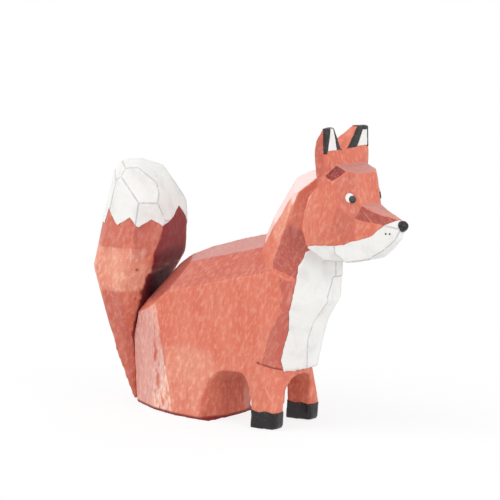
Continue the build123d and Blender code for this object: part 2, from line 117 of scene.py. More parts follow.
class CarvingSizes(bpy.types.PropertyGroup):
    """Sizes of the knife work and of the coats of paint."""

    grid: FloatProperty(
        name="Grid", description="Spacing of the points on the wood's surface",
        default=0.345 * MM, min=0.2 * MM, subtype="DISTANCE", unit="LENGTH",
    )
    coat_grid: FloatProperty(
        name="Coat grid", description="Longest edge in a coat of paint",
        default=0.4 * MM, min=0.2 * MM, subtype="DISTANCE", unit="LENGTH",
    )
    waviness: FloatProperty(
        name="Waviness", description="How far the knife wandered off each flat facet",
        default=0.10 * MM, min=0, subtype="DISTANCE", unit="LENGTH",
    )
    wander: FloatProperty(
        name="Wander", description="How far the arrises wander sideways",
        default=0.14 * MM, min=0, subtype="DISTANCE", unit="LENGTH",
    )
    paint_wander: FloatProperty(
        name="Paint wander", description="How far the edges of the paint wander sideways",
        default=0.26 * MM, min=0, subtype="DISTANCE", unit="LENGTH",
    )
    coat: FloatProperty(
        name="Coat of paint", description="Thickness of the paint on the wood",
        default=0.15 * MM, min=0.05 * MM, subtype="DISTANCE", unit="LENGTH",
    )
    cut_depth: FloatProperty(
        name="Stop cut", description="Depth of the knife's stop cut above the foreleg",
        default=0.3 * MM, min=0, subtype="DISTANCE", unit="LENGTH",
    )


class FinishColours(bpy.types.PropertyGroup):
    """Colours of the stain, the painted shade and sheen, the bare wood and the paints."""

    stain: FloatVectorProperty(
        name="Stain", description="Red stain on the side faces of the wood",
        default=(0.655, 0.164, 0.104), size=3, min=0, max=1, subtype="COLOR",
    )
    thin: FloatVectorProperty(
        name="Thin stain", description="Where the wood took less of the stain",
        default=(0.82, 0.36, 0.25), size=3, min=0, max=1, subtype="COLOR",
    )
    cross: FloatVectorProperty(
        name="Cross-grain stain", description="Where the knife cut across the grain",
        default=(0.44, 0.098, 0.078), size=3, min=0, max=1, subtype="COLOR",
    )
    # Deep stain, also laid on as painted shade: on the croup, the temple, in the gap behind the
    # brush, in the stop cut and at the sole
    deep_stain_and_shade: FloatVectorProperty(
        name="Deep stain", description="Where the stain gathered",
        default=(0.25, 0.038, 0.037), size=3, min=0, max=1, subtype="COLOR",
    )
    # Painted sheen: pale pink laid on facets where light glances off them, not a colour of the wood
    painted_sheen: FloatVectorProperty(
        name="Bloom", description="Pale pink bloom where the stain was rubbed off the upper facets",
        default=(0.90, 0.72, 0.70), size=3, min=0, max=1, subtype="COLOR",
    )
    bare_wood: FloatVectorProperty(
        name="Bare wood", description="Light wood without stain",
        default=(0.72, 0.52, 0.33), size=3, min=0, max=1, subtype="COLOR",
    )
    white: FloatVectorProperty(
        name="White paint", description="White paint of the bib and the tip of the brush",
        default=(0.795, 0.79, 0.77), size=3, min=0, max=1, subtype="COLOR",
    )
    worn: FloatVectorProperty(
        name="Worn paint", description="Thin grey lines where the white paint wore off an arris",
        default=(0.40, 0.38, 0.40), size=3, min=0, max=1, subtype="COLOR",
    )
    dirt: FloatVectorProperty(
        name="Dirt", description="Where the white paint is a little grey",
        default=(0.56, 0.53, 0.51), size=3, min=0, max=1, subtype="COLOR",
    )
    grain: FloatVectorProperty(
        name="Grain", description="Darker grain of the bare wood",
        default=(0.5, 0.33, 0.19), size=3, min=0, max=1, subtype="COLOR",
    )
    black: FloatVectorProperty(
        name="Black paint", description="Black paint of feet, ears, nose and pupils",
        default=(0.009, 0.007, 0.008), size=3, min=0, max=1, subtype="COLOR",
    )
    crust: FloatVectorProperty(
        name="Crust", description="Raised specks in the black paint",
        default=(0.2, 0.17, 0.17), size=3, min=0, max=1, subtype="COLOR",
    )


# Facets of the right side with a stain of their own, some of it painted shade, or with a painted
# sheen:
# the place in the middle of the facet and how far it reaches, in millimetres, the way it faces,
# how closely, and the share of the stain
FACETS = (
    # Croup: deep stain and painted shade from the brush behind it
    ("croup", (-20.0, -2.0, 33.0), 10.0, (-0.53, -0.5, 0.66), 0.90, "deep_stain_and_shade", 0.6),
    ("neck front", (17.0, -8.0, 40.5), 8.0, (0.45, -0.89, 0.11), 0.965, "cross", 0.9),
    ("neck side", (18.0, -7.4, 50.0), 8.0, (-0.30, -0.88, 0.38), 0.95, "thin", 0.4),
    # Temple: deep stain and painted shade under the ear
    ("temple", (30.0, -7.8, 59.6), 6.0, (0.29, -0.63, 0.72), 0.95, "deep_stain_and_shade", 0.95),
    ("cheek", (32.0, -6.6, 46.5), 13.0, (0.67, -0.71, -0.22), 0.955, "cross", 0.4),
    ("brow", (33.0, -6.0, 56.0), 9.0, (0.84, -0.52, 0.14), 0.95, "cross", 0.25),
    ("muzzle", (37.0, -3.6, 50.8), 8.0, (0.47, -0.79, 0.41), 0.965, "deep_stain_and_shade", 0.7),
    ("shoulder", (17.0, -8.5, 25.0), 12.0, (0.71, -0.63, -0.25), 0.93, "cross", 0.6),
    ("rump", (-25.5, -6.5, 14.0), 18.0, (-0.45, -0.89, -0.05), 0.97, "thin", 0.7),
    # Painted sheen on the rump
    ("rump bloom", (-25.5, -6.5, 14.0), 18.0, (-0.45, -0.89, -0.05), 0.97, "painted_sheen", 0.15),
    ("haunch", (-10.0, -10.0, 4.0), 15.0, (-0.05, -1.0, 0.0), 0.90, "thin", 0.3),
    ("brush front", (-23.0, 0.0, 33.0), 26.0, (0.99, 0.0, -0.1), 0.82, "deep_stain_and_shade", 0.98),
    # Brush gap and ledge: deep stain and painted shade in the gap between the brush and the back
    ("brush gap", (-23.0, 0.0, 27.0), 13.0, (0.99, 0.0, -0.1), 0.82, "deep_stain_and_shade", 0.6),
    ("brush ledge", (-23.0, 0.0, 28.0), 7.0, (0.75, 0.0, -0.66), 0.6, "deep_stain_and_shade", 0.95),
    ("brush chamfer", (-25.0, -7.0, 46.0), 12.0, (0.68, -0.73, 0.0), 0.95, "cross", 0.5),
    ("brush side", (-34.0, -9.0, 48.0), 11.0, (0.0, -1.0, 0.0), 0.5, "cross", 0.4),
    ("brush root", (-32.0, -8.0, 14.0), 16.0, (0.0, -1.0, 0.0), 0.5, "cross", 0.45),
    ("ear", (24.0, -9.0, 66.0), 9.0, (0.0, -1.0, 0.0), 0.5, "cross", 0.55),
    ("upper flank", (0.0, -7.0, 38.0), 24.0, (-0.14, -0.80, 0.59), 0.955, "cross", 0.45),
    # Painted sheen on the top and back of the neck
    ("neck top", (19.0, -3.5, 57.0), 9.0, (-0.30, -0.62, 0.73), 0.94, "painted_sheen", 0.95),
    ("neck bloom", (20.5, -6.0, 57.0), 6.0, (-0.30, -0.8, 0.5), 0.85, "painted_sheen", 0.7),
    ("nape", (13.0, -2.0, 53.0), 7.0, (-0.65, -0.61, 0.45), 0.94, "painted_sheen", 0.85),
    ("lower nape", (8.5, -2.0, 46.5), 5.0, (-0.72, -0.59, 0.37), 0.94, "painted_sheen", 0.6),
    ("back", (-3.0, -3.7, 40.0), 20.0, (-0.20, -0.48, 0.86), 0.955, "cross", 0.8),
    # Painted sheen on the back
    ("back bloom", (-3.0, -3.7, 40.0), 20.0, (-0.20, -0.48, 0.86), 0.955, "painted_sheen", 0.25),
    ("crown", (32.0, 0.0, 60.5), 8.0, (0.38, 0.0, 0.92), 0.95, "cross", 0.6),
    # Painted sheen on the crown
    ("crown bloom", (32.0, 0.0, 60.5), 8.0, (0.38, 0.0, 0.92), 0.95, "painted_sheen", 0.2),
    ("muzzle top", (37.8, 0.0, 51.7), 6.0, (0.45, 0.0, 0.89), 0.95, "cross", 0.6),
    # Painted sheen on the top of the muzzle
    ("muzzle top bloom", (37.8, 0.0, 51.7), 6.0, (0.45, 0.0, 0.89), 0.95, "painted_sheen", 0.2),
)

# A facet's stain fades from this share of its reach. It is full where the wood has turned this
# share of the way from facing closely enough to facing squarely
FACET_EDGE = 0.8
FACET_TURN = 0.45

# Facets with fine scratches from the knife's last strokes
SCRATCHED = ("neck front", "muzzle", "temple")

# The pale band round the brush, in millimetres: where it starts and ends in height, how far each
# edge fades, and where it fades out towards the front. It covers facets that face back or
# sideways, by a share
BAND_START, BAND_END = 28.3, 39.0
BAND_START_FADE, BAND_END_FADE = 0.5, 0.3
BAND_FRONT = (24.6, 25.8)
BAND_FACING = (-0.86, -0.78)
BAND_SHARE = 0.45

# Chips and a scratch where the stain is thin, a knot and how far from it the stain fades, and
# the stop cut above the foreleg, in millimetres
CHIPS = ((-2.4, -10.0, 11.3), (12.1, -9.0, 13.7), (11.3, -9.5, 9.3))
KNOT = (-27.6, -7.7, 33.8)
KNOT_FADE = (0.15, 0.65)
STOP_CUT = (
    (10.5, -10.0, 15.6), (11.1, -10.0, 15.5), (11.9, -9.4, 15.2), (12.5, -8.7, 14.8),
    (13.3, -7.8, 14.4), (14.2, -6.7, 14.1), (15.3, -5.5, 13.8),
)
SCRATCH = ((12.5, -9.5, 9.9), (13.9, -8.7, 6.9))

# Painted contact shade at the sole, in the deep colour: from where to where it fades in height, in
# millimetres
SOLE_FADE = (0.4, 1.0)

# The dabs of paint: node, piece, finish, and how far the rim is rounded in millimetres. The
# nose is a bead with no rim
DABS = (
    ("right_eye_white", "right_eye_dab", "white_paint", 0.14),
    ("left_eye_white", "left_eye_dab", "white_paint", 0.14),
    ("right_pupil", "right_pupil_dab", "black_paint", 0.12),
    ("left_pupil", "left_pupil_dab", "black_paint", 0.12),
    ("nose_paint", "nose_bead", "black_paint", 0),
    ("whisker_dots", "whisker_dabs", "black_paint", 0.04),
)
DAB_SMOOTH = math.radians(40)
NOSE_GRID = 0.3 * MM

# The peg has chamfered ends. On dabs and peg, corners sharper than this are rounded
PEG_CHAMFER = 0.25 * MM
PEG_SMOOTH = math.radians(35)
SHARP_CORNER = math.radians(60)

# The room's light, the floor's size, how white it looks near the figurine, and from where to
# where it turns all white, in metres
ROOM_LIGHT = 0.76
FLOOR_SIZE = 8.0
FLOOR_WHITE = 0.82
FLOOR_FADE = (0.03, 0.14)

# The lamps: name, place in metres and power. All have one size and shine at one place
LAMPS = (
    ("window", (-0.55, -0.55, 0.75), 4.5),
    ("fill", (0.9, -0.15, 0.4), 3.2),
)
LAMP_SIZE = 0.6
LAMP_AIM = (0, 0, 0.035)

# The camera: its turn from the figurine's right side, its rise, and in millimetres the place it
# looks at, its distance from it, its sensor, its lens and the nearest place it sees
CAMERA_TURN = math.radians(37.5)
CAMERA_RISE = math.radians(7.2)
CAMERA_TARGET = (0.85, 0, 40.0)
CAMERA_DISTANCE = 470
CAMERA_SENSOR = 36
CAMERA_LENS = 144
CAMERA_NEAR = 10


def sizes():
    """The sizes in the sidebar"""
    return bpy.context.scene.fox_sizes


def colours():
    """The colours in the sidebar"""
    return bpy.context.scene.fox_colours


def in_metres(lengths):
    """Lengths that are given in millimetres"""
    return [length * MM for length in lengths]


class Recipe:
    """The shader nodes of a material or of the world, added one by one."""

    def __init__(self, owner):
        owner.use_nodes = True
        self.owner = owner
        self.tree = owner.node_tree
        self.tree.nodes.clear()

    def put(self, socket, value):
        """Gives a socket a value or links it to another node's output"""
        if isinstance(value, bpy.types.NodeSocket):
            self.tree.links.new(value, socket)
        else:
            socket.default_value = value

    def add(self, kind, settings=None, **sockets):
        """Adds a node; a socket takes a number, a colour or another node's output"""
        node = self.tree.nodes.new(kind)
        for name, value in (settings or {}).items():
            setattr(node, name, value)
        for name, value in sockets.items():
            self.put(node.inputs[name.replace("_", " ")], value)
        return node

    def math(self, operation, *values):
        """One sum on numbers"""
        node = self.add("ShaderNodeMath", {"operation": operation})
        for socket, value in zip(node.inputs, values):
            self.put(socket, value)
        return node.outputs[0]

    def vector_math(self, operation, *values):
        """The distance or the dot product of two vectors"""
        node = self.add("ShaderNodeVectorMath", {"operation": operation})
        for socket, value in zip(node.inputs, values):
            self.put(socket, value)
        return node.outputs["Value"]

    def ramp(self, value, low, high, share=1.0):
        """A smooth step of a value between low and high, up to a share"""
        node = self.add(
            "ShaderNodeMapRange", {"interpolation_type": "SMOOTHSTEP"},
            Value=value, From_Min=low, From_Max=high, To_Min=0.0, To_Max=share,
        )
        return node.outputs[0]

    def fade(self, value, low, high, share=1.0):
        """A share up to low, which falls smoothly to nothing at high"""
        return self.math("SUBTRACT", share, self.ramp(value, low, high, share))

    def mix(self, share, first, second, blend="MIX"):
        """One colour mixed into another by a share"""
        node = self.add("ShaderNodeMix", {"data_type": "RGBA", "blend_type": blend})
        for index, value in ((0, share), (6, first), (7, second)):
            self.put(node.inputs[index], value)
        return node.outputs[2]

    def noise(self, place, waves, detail=3.0, roughness=0.55, turn=(0, 0, 0)):
        """Noise on the piece's own coordinates, with so many waves per millimetre"""
        mapping = self.add(
            "ShaderNodeMapping", {"vector_type": "TEXTURE"}, Vector=place, Rotation=turn,
            Scale=[MM / count for count in waves],
        )
        node = self.add(
            "ShaderNodeTexNoise", Vector=mapping.outputs[0], Scale=1.0,
            Detail=detail, Roughness=roughness, Distortion=0.0,
        )
        return node.outputs[0]

    def near(self, attribute, low, high, share=1.0):
        """A share on a marked line of the mesh, nothing from high millimetres away"""
        node = self.add("ShaderNodeAttribute", {"attribute_name": attribute})
        return self.fade(node.outputs["Fac"], low, high, share)

    def shade(self, colour, roughness, height, bump, specular=0.5):
        """The surface itself, with a fine relief"""
        relief = self.add("ShaderNodeBump", Height=height, Strength=1.0, Distance=bump)
        shader = self.add(
            "ShaderNodeBsdfPrincipled", Base_Color=colour, Roughness=roughness,
            Specular_IOR_Level=specular, Normal=relief.outputs[0],
        )
        self.add("ShaderNodeOutputMaterial", Surface=shader.outputs[0])
        return self.owner


def rgba(colour):
    """A colour with full opacity"""
    return (*colour, 1.0)


def tone_of(stain):
    """How much darker or lighter a stain is than the plain one"""
    plain = colours().stain
    return rgba([shade / base for shade, base in zip(getattr(colours(), stain), plain)])


def on_right_side(r, at, way):
    """A point's place and the way it faces, mirrored onto the right side"""
    side = r.math("MULTIPLY", r.math("SIGN", at["Y"]), -1.0)
    place_y = r.math("MULTIPLY", r.math("ABSOLUTE", at["Y"]), -1.0)
    facing_y = r.math("MULTIPLY", way["Y"], side)
    place = r.add("ShaderNodeCombineXYZ", X=at["X"], Y=place_y, Z=at["Z"])
    facing = r.add("ShaderNodeCombineXYZ", X=way["X"], Y=facing_y, Z=way["Z"])
    return place.outputs[0], facing.outputs[0]


def plain_stain(r, place, lines, streaks):
    """The stain as it took on the wood: patches, streaks along the grain, flecks and fine lines"""
    c = colours()
    patches = r.noise(place, (0.14, 0.14, 0.07), detail=2)
    flecks = r.noise(place, (1.0, 1.0, 0.5), detail=3, roughness=0.6, turn=(0.0, 0.45, 0.0))
    colour = r.mix(r.ramp(patches, 0.35, 0.7, 0.22), rgba(c.stain), rgba(c.thin))
    colour = r.mix(r.ramp(streaks, 0.5, 0.75, 0.38), colour, rgba(c.cross))
    colour = r.mix(r.ramp(flecks, 0.44, 0.7, 0.55), colour, rgba(c.thin))
    colour = r.mix(r.ramp(lines, 0.5, 0.72, 0.35), colour, rgba(c.cross))
    return r.mix(r.near("arris", 0.05, 0.3, 0.1), colour, rgba(c.thin))


def pale_band(r, colour, at, way):
    """The stain with the pale band round the brush"""
    start, start_fade = BAND_START * MM, BAND_START_FADE * MM
    end, end_fade = BAND_END * MM, BAND_END_FADE * MM
    backward = r.math("MULTIPLY", at["X"], -1.0)
    facing_back = r.math("MULTIPLY", way["X"], -1.0)
    band = r.ramp(at["Z"], start - start_fade, start + start_fade, BAND_SHARE)
    for edge in (
        r.fade(at["Z"], end - end_fade, end + end_fade),
        r.ramp(backward, *in_metres(BAND_FRONT)),
        r.ramp(facing_back, *BAND_FACING),
    ):
        band = r.math("MULTIPLY", band, edge)
    return r.mix(band, colour, r.mix(1.0, colour, tone_of("thin"), "MULTIPLY"))


def facet_stains(r, colour, place, facing, scratches):
    """The stain with the facets that took more or less of it, painted shade on some and painted
    sheen on others
    """
    for name, spot, reach, direction, closely, stain, share in FACETS:
        apart = r.vector_math("DISTANCE", place, in_metres(spot))
        inside = r.fade(apart, FACET_EDGE * reach * MM, reach * MM)
        turned = r.vector_math("DOT_PRODUCT", facing, Vector(direction).normalized())
        turned = r.ramp(turned, closely, closely + (1 - closely) * FACET_TURN, share)
        # Painted sheen is laid on as its own pale colour; the stains darken or lighten the wood
        if stain == "painted_sheen":
            own = rgba(colours().painted_sheen)
        else:
            own = r.mix(1.0, colour, tone_of(stain), "MULTIPLY")
        if name in SCRATCHED:
            own = r.mix(scratches, own, rgba(colours().thin))
        colour = r.mix(r.math("MULTIPLY", inside, turned), colour, own)
    return colour


def stained_wood():
    """Red stain on light wood, with a knot, chips, painted shade in the stop cut and at the sole"""
    r, c = Recipe(bpy.data.materials.new("fox_stained_wood")), colours()
    where = r.add("ShaderNodeTexCoord").outputs
    at = r.add("ShaderNodeSeparateXYZ", Vector=where["Object"]).outputs
    way = r.add("ShaderNodeSeparateXYZ", Vector=where["Normal"]).outputs
    right_place, right_way = on_right_side(r, at, way)

    place = where["Object"]
    streaks = r.noise(place, (0.8, 0.8, 0.05), detail=4, roughness=0.6)
    lines = r.noise(place, (3.6, 3.6, 0.16), detail=3, roughness=0.6)
    scratches = r.noise(place, (4.5, 4.5, 0.25), detail=2, turn=(0.0, -0.7, 0.0))
    colour = plain_stain(r, place, lines, streaks)
    colour = pale_band(r, colour, at, way)
    colour = facet_stains(r, colour, right_place, right_way, r.ramp(scratches, 0.55, 0.68, 0.4))

    knot = r.vector_math("DISTANCE", place, in_metres(KNOT))
    knot = r.fade(knot, *in_metres(KNOT_FADE), 0.8)
    colour = r.mix(knot, colour, rgba(c.deep_stain_and_shade))
    # Painted shade in the crease of the stop cut, in the deep colour
    colour = r.mix(r.near("cut", 0.12, 0.35, 0.85), colour, rgba(c.deep_stain_and_shade))
    # Painted contact shade at the sole, darkest at the floor
    colour = r.mix(r.fade(at["Z"], *in_metres(SOLE_FADE)), colour, rgba(c.deep_stain_and_shade))
    colour = r.mix(r.near("chip", 0.1, 0.28, 0.45), colour, rgba(c.thin))
    height = r.math("ADD", lines, streaks)
    return r.shade(colour, 0.5, height, 0.05 * MM, specular=0.18)


def bare_wood():
    """Light wood with a straight grain"""
    r, c = Recipe(bpy.data.materials.new("fox_bare_wood")), colours()
    place = r.add("ShaderNodeTexCoord").outputs["Object"]
    grain = r.noise(place, (0.12, 2.5, 2.5), detail=4)
    colour = r.mix(r.ramp(grain, 0.35, 0.7), rgba(c.bare_wood), rgba(c.grain))
    return r.shade(colour, 0.7, grain, 0.04 * MM)


def white_paint():
    """Matt white paint, a little grey in places, worn to thin grey lines on the arrises"""
    r, c = Recipe(bpy.data.materials.new("fox_white_paint")), colours()
    place = r.add("ShaderNodeTexCoord").outputs["Object"]
    strokes = r.noise(place, (1.4, 1.4, 0.3), detail=4)
    breaks = r.noise(place, (0.5, 0.5, 0.5), detail=3)
    dirt = r.noise(place, (0.3, 0.3, 0.18), detail=4)
    colour = r.mix(r.ramp(dirt, 0.45, 0.8, 0.45), rgba(c.white), rgba(c.dirt))
    lines = r.math("MULTIPLY", r.near("arris", 0.05, 0.32), r.ramp(breaks, 0.28, 0.5, 0.75))
    colour = r.mix(lines, colour, rgba(c.worn))
    return r.shade(colour, 0.5, strokes, 0.05 * MM, specular=0.3)


def black_paint():
    """Black paint with a slight gloss and a crusty skin"""
    r, c = Recipe(bpy.data.materials.new("fox_black_paint")), colours()
    place = r.add("ShaderNodeTexCoord").outputs["Object"]
    crust = r.noise(place, (2.0, 2.0, 2.0), detail=4)
    colour = r.mix(r.ramp(crust, 0.60, 0.70, 0.35), rgba(c.black), rgba(c.crust))
    return r.shade(colour, 0.25, crust, 0.1 * MM, specular=0.4)


# The finishes by slot, how each is mixed, those mixed so far, and the arrises of each wood
RECIPES = {
    "stained_wood": stained_wood,
    "bare_wood": bare_wood,
    "white_paint": white_paint,
    "black_paint": black_paint,
}
FINISHES = {}
ARRISES = {}


def select_only(piece):
    """Makes one piece the selected and active one"""
    bpy.ops.object.select_all(action="DESELECT")
    piece.select_set(True)
    bpy.context.view_layer.objects.active = piece


def copy_of(node, name):
    """A copy of a CAD node with its loose triangles merged into closed facets"""
    select_only(frame["nodes"][node])
    bpy.ops.object.duplicate()
    piece = bpy.context.active_object
    piece.name = piece.data.name = name
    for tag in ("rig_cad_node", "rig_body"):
        del piece[tag]
    piece.parent = None
    piece.data.materials.clear()
    bpy.ops.object.mode_set(mode="EDIT")
    bpy.ops.mesh.select_all(action="SELECT")
    bpy.ops.mesh.remove_doubles(threshold=MERGE_WITHIN)
    bpy.ops.mesh.dissolve_limited(angle_limit=FLAT_ANGLE)
    bpy.ops.object.mode_set(mode="OBJECT")
    return piece


def modifier(piece, kind, **settings):
    """Adds one modifier and applies it"""
    select_only(piece)
    bpy.ops.object.modifier_add(type=kind)
    added = piece.modifiers[-1]
    for name, value in settings.items():
        setattr(added, name, value)
    bpy.ops.object.modifier_apply(modifier=added.name)


def displace(piece, name, size, strength, direction, group=""):
    """Moves the points of a surface by a soft noise on their own places"""
    texture = bpy.data.textures.get(name) or bpy.data.textures.new(name, "CLOUDS")
    texture.noise_scale = size
    texture.noise_depth = 1
    texture.cloud_type = "COLOR" if direction == "RGB_TO_XYZ" else "GRAYSCALE"
    modifier(
        piece, "DISPLACE", texture=texture, texture_coords="LOCAL", direction=direction,
        mid_level=0.5, strength=strength, vertex_group=group,
    )


def points_of(piece):
    """The places of a piece's points, row by row"""
    points = np.empty(len(piece.data.vertices) * 3)
    piece.data.vertices.foreach_get("co", points)
    return points.reshape(-1, 3)


def edge_ends(piece):
    """The numbers of the two points of each edge, row by row"""
    ends = np.empty(len(piece.data.edges) * 2, int)
    piece.data.edges.foreach_get("vertices", ends)
    return ends.reshape(-1, 2)


def tree_of(piece):
    """A piece's faces, to be searched by place"""
    mesh = piece.data
    return BVHTree.FromPolygons([v.co for v in mesh.vertices], [p.vertices for p in mesh.polygons])


def deselect(*parts):
    """Deselects points, edges or faces of a mesh"""
    for each in parts:
        each.foreach_set("select", np.zeros(len(each), bool))


def group_of(piece, name, chosen):
    """Makes a group of the chosen points"""
    group = piece.vertex_groups.new(name=name)
    group.add(np.flatnonzero(chosen).tolist(), 1.0, "REPLACE")


def steps_along(start, end):
    """Places from one end of a line to the other, a short step apart"""
    count = max(1, int((end - start).length / LINE_STEP))
    return [start.lerp(end, index / count) for index in range(count + 1)]


def line_places(line):
    """Places along a line with corners"""
    spots = [Vector(spot) * MM for spot in line]
    return [place for pair in zip(spots, spots[1:]) for place in steps_along(*pair)]


def write_marks(piece, name, apart):
    """Keeps a number for each point of a piece"""
    piece.data.attributes.new(name, "FLOAT", "POINT").data.foreach_set("value", apart)


def leave_unmarked(piece, *names):
    """Puts every point of a piece far from marks of these names"""
    for name in names:
        write_marks(piece, name, np.full(len(piece.data.vertices), UNMARKED))


def mark(piece, name, places):
    """Writes how far each point of a piece is from the nearest of these places, in millimetres"""
    tree = KDTree(len(places))
    for index, place in enumerate(places):
        tree.insert(place, index)
    tree.balance()
    apart = np.array([tree.find(v.co)[2] / MM for v in piece.data.vertices])
    write_marks(piece, name, apart)
    return apart


def arris_places(piece, angle, level_from=-math.inf):
    """Places along the arrises that turn enough, level ones only in front of a place"""
    mesh = bmesh.new()
    mesh.from_mesh(piece.data)
    places = []
    for edge in mesh.edges:
        if len(edge.link_faces) != 2 or edge.calc_face_angle() < angle:
            continue
        start, end = (corner.co for corner in edge.verts)
        level = abs(end.z - start.z) < LEVEL_SHARE * (end - start).length
        if not level or start.x > level_from:
            places += steps_along(start, end)
    mesh.free()
    return places


def finish_piece(piece, slot, *nodes):
    """Gives a piece its material, its place on the body and the CAD nodes it stands for"""
    piece.data.materials.clear()
    if slot not in FINISHES:
        FINISHES[slot] = RECIPES[slot]()
    piece.data.materials.append(FINISHES[slot])
    select_only(piece)
    bpy.ops.object.shade_smooth()
    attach(piece, BODY)
    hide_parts(*nodes)


def carve_wood(node, name):
    """Wood with softened arrises and slightly wavy facets"""
    piece = copy_of(node, name)
    ARRISES[node] = arris_places(piece, PAINT_ARRIS, LEVEL_FROM[node])
    fine = arris_places(piece, STAIN_ARRIS)
    modifier(piece, "REMESH", mode="VOXEL", voxel_size=sizes().grid, adaptivity=0)
    modifier(piece, "SMOOTH", factor=0.6, iterations=1)
    points = points_of(piece)
    group_of(piece, "toes", (points[:, 0] > TOE_START) & (points[:, 2] < TOE_HEIGHT))
    modifier(piece, "SMOOTH", factor=0.5, iterations=TOE_ROUNDS, vertex_group="toes")
    displace(piece, "wander", ARRIS_BUMP, sizes().wander, "RGB_TO_XYZ")
    displace(piece, "knife", KNIFE_BUMP, sizes().waviness, "NORMAL")
    mark(piece, "arris", fine)
    return piece


def push(piece, chosen, way):
    """Selects the chosen points of a piece and moves them together"""
    select_only(piece)
    bpy.context.tool_settings.mesh_select_mode = (True, False, False)
    deselect(piece.data.edges, piece.data.polygons)
    piece.data.vertices.foreach_set("select", chosen)
    bpy.ops.object.mode_set(mode="EDIT")
    bpy.ops.transform.translate(value=way)
    bpy.ops.object.mode_set(mode="OBJECT")


def refine(piece, longest):
    """Splits the edges that are longer than this, in a few rounds"""
    select_only(piece)
    bpy.context.tool_settings.mesh_select_mode = (False, True, False)
    mesh = piece.data
    for _ in range(SPLIT_ROUNDS):
        bpy.ops.object.mode_set(mode="EDIT")
        bpy.ops.mesh.select_all(action="SELECT")
        bpy.ops.mesh.quads_convert_to_tris(quad_method="BEAUTY", ngon_method="BEAUTY")
        bpy.ops.object.mode_set(mode="OBJECT")
        points, ends = points_of(piece), edge_ends(piece)
        lengths = np.linalg.norm(points[ends[:, 0]] - points[ends[:, 1]], axis=1)
        if lengths.max() <= longest:
            return
        deselect(mesh.vertices, mesh.polygons)
        mesh.edges.foreach_set("select", lengths > longest)
        bpy.ops.object.mode_set(mode="EDIT")
        bpy.ops.mesh.subdivide(number_cuts=1)
        bpy.ops.object.mode_set(mode="OBJECT")


def coat_wood(node, name, wood, wood_node, hem=None):
    """A coat of paint that follows the finished wood under it"""
    under = tree_of(frame["nodes"][wood_node])
    piece = copy_of(node, name)
    refine(piece, sizes().coat_grid)
    points, ends = points_of(piece), edge_ends(piece)
    half = sizes().coat / 2
    skin = np.array([under.find_nearest(point)[3] > half for point in points])
    rim = np.zeros(len(skin), bool)
    rim[ends[skin[ends[:, 0]] != skin[ends[:, 1]]].ravel()] = True
    group_of(piece, "skin", skin)
    group_of(piece, "seat", ~skin)
    group_of(piece, "free", ~rim)
    modifier(piece, "SMOOTH", factor=0.5, iterations=4, vertex_group="free")
    displace(piece, "paint wander", PAINT_BUMP, sizes().paint_wander, "RGB_TO_XYZ")
    if hem is not None:
        group_of(piece, "hem", points[:, 2] < hem)
        displace(piece, "hem", HEM_BUMP, HEM_WANDER, "Z", "hem")
    for group, offset in (("skin", sizes().coat), ("seat", -half)):
        modifier(
            piece, "SHRINKWRAP", target=wood, vertex_group=group,
            wrap_method="NEAREST_SURFACEPOINT", wrap_mode="ABOVE_SURFACE", offset=offset,
        )
    piece.vertex_groups.clear()
    mark(piece, "arris", ARRISES[wood_node])
    return piece


def seen_rays(r):
    """1 for what the camera, a gloss or a glass sees, 0 for light that falls on the object"""
    rays = r.add("ShaderNodeLightPath").outputs
    seen = r.math("MAXIMUM", rays["Is Camera Ray"], rays["Is Glossy Ray"])
    return r.math("MAXIMUM", seen, rays["Is Transmission Ray"])


def light_room(scene):
    """Even light from all round, seen as pure white"""
    world = scene.world or bpy.data.worlds.new("studio")
    scene.world = world
    r = Recipe(world)
    level = r.math("ADD", ROOM_LIGHT, r.math("MULTIPLY", seen_rays(r), 1 - ROOM_LIGHT))
    light = r.add("ShaderNodeBackground", Color=(1, 1, 1, 1), Strength=level)
    r.add("ShaderNodeOutputWorld", Surface=light.outputs[0])


def lay_floor():
    """A pale floor that keeps the figurine's shadow and is pure white farther out"""
    bpy.ops.mesh.primitive_plane_add(size=FLOOR_SIZE)
    floor = bpy.context.active_object
    floor.name = "floor"
    r = Recipe(bpy.data.materials.new("floor"))
    place = r.add("ShaderNodeTexCoord").outputs["Object"]
    away = r.ramp(r.vector_math("DISTANCE", place, (0, 0, 0)), *FLOOR_FADE)
    glow = r.math("ADD", FLOOR_WHITE, r.math("MULTIPLY", away, 1 - FLOOR_WHITE))
    shader = r.add("ShaderNodeBsdfDiffuse", Color=(0.9, 0.9, 0.9, 1))
    white = r.add("ShaderNodeEmission", Color=(1, 1, 1, 1), Strength=1.0)
    both = r.add("ShaderNodeMixShader", Fac=r.math("MULTIPLY", seen_rays(r), glow))
    r.put(both.inputs[1], shader.outputs[0])
    r.put(both.inputs[2], white.outputs[0])
    r.add("ShaderNodeOutputMaterial", Surface=both.outputs[0])
    floor.data.materials.append(r.owner)


def hang_lamps():
    """Soft lamps that shine at the figurine"""
    for name, place, power in LAMPS:
        bpy.ops.object.light_add(type="AREA", location=place)
        lamp = bpy.context.active_object
        lamp.name = name
        lamp.data.size = LAMP_SIZE
        lamp.data.energy = power
        aim = Vector(LAMP_AIM) - Vector(place)
        lamp.rotation_euler = aim.to_track_quat("-Z", "Y").to_euler()


def set_camera(scene):
    """A long lens, a little above the figurine and to the right of its front"""
    target = Vector(CAMERA_TARGET) * MM
    level = math.cos(CAMERA_RISE)
    away = Vector(
        (level * math.sin(CAMERA_TURN), -level * math.cos(CAMERA_TURN), math.sin(CAMERA_RISE))
    )
    bpy.ops.object.camera_add(location=target + away * CAMERA_DISTANCE * MM)
    camera = bpy.context.active_object
    camera.rotation_euler = (-away).to_track_quat("-Z", "Y").to_euler()
    camera.data.sensor_width = CAMERA_SENSOR
    camera.data.lens = CAMERA_LENS
    camera.data.clip_start = CAMERA_NEAR * MM
    scene.camera = camera


